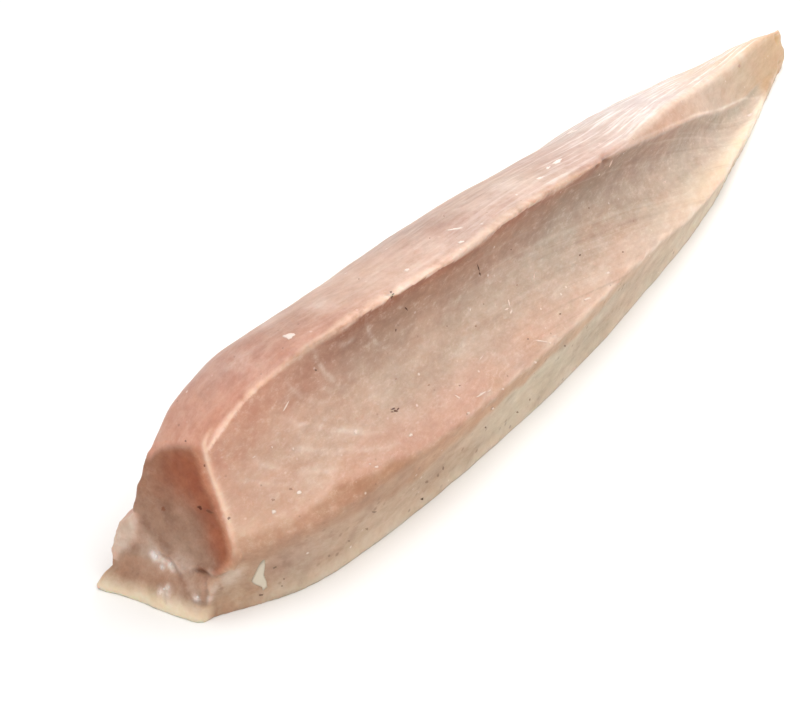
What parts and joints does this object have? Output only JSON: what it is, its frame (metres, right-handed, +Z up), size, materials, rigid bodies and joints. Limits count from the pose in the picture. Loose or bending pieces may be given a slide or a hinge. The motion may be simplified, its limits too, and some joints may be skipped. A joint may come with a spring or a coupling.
{
  "type": "albacore tuna loin",
  "caption": "Long skinned and trimmed frozen tuna loin with a flat underside, a shallow dished face with a crisp rim, a square head cut and a thin bladed tail.",
  "frame": {"origin": "bottom centre of the loin's bounding box, on the surface it lies on", "axes": "+X from the head cut towards the tail tip, +Y from the dished face towards the rounded skin side, +Z up from the flat underside"},
  "size_m": [0.4594, 0.08, 0.07],
  "materials": {
    "flesh": "firm frozen fish flesh, pinkish tan, half matt with a thin glaze of frost"
  },
  "bodies": {
    "root": {"loin": "flesh"}
  },
  "joints": []
}
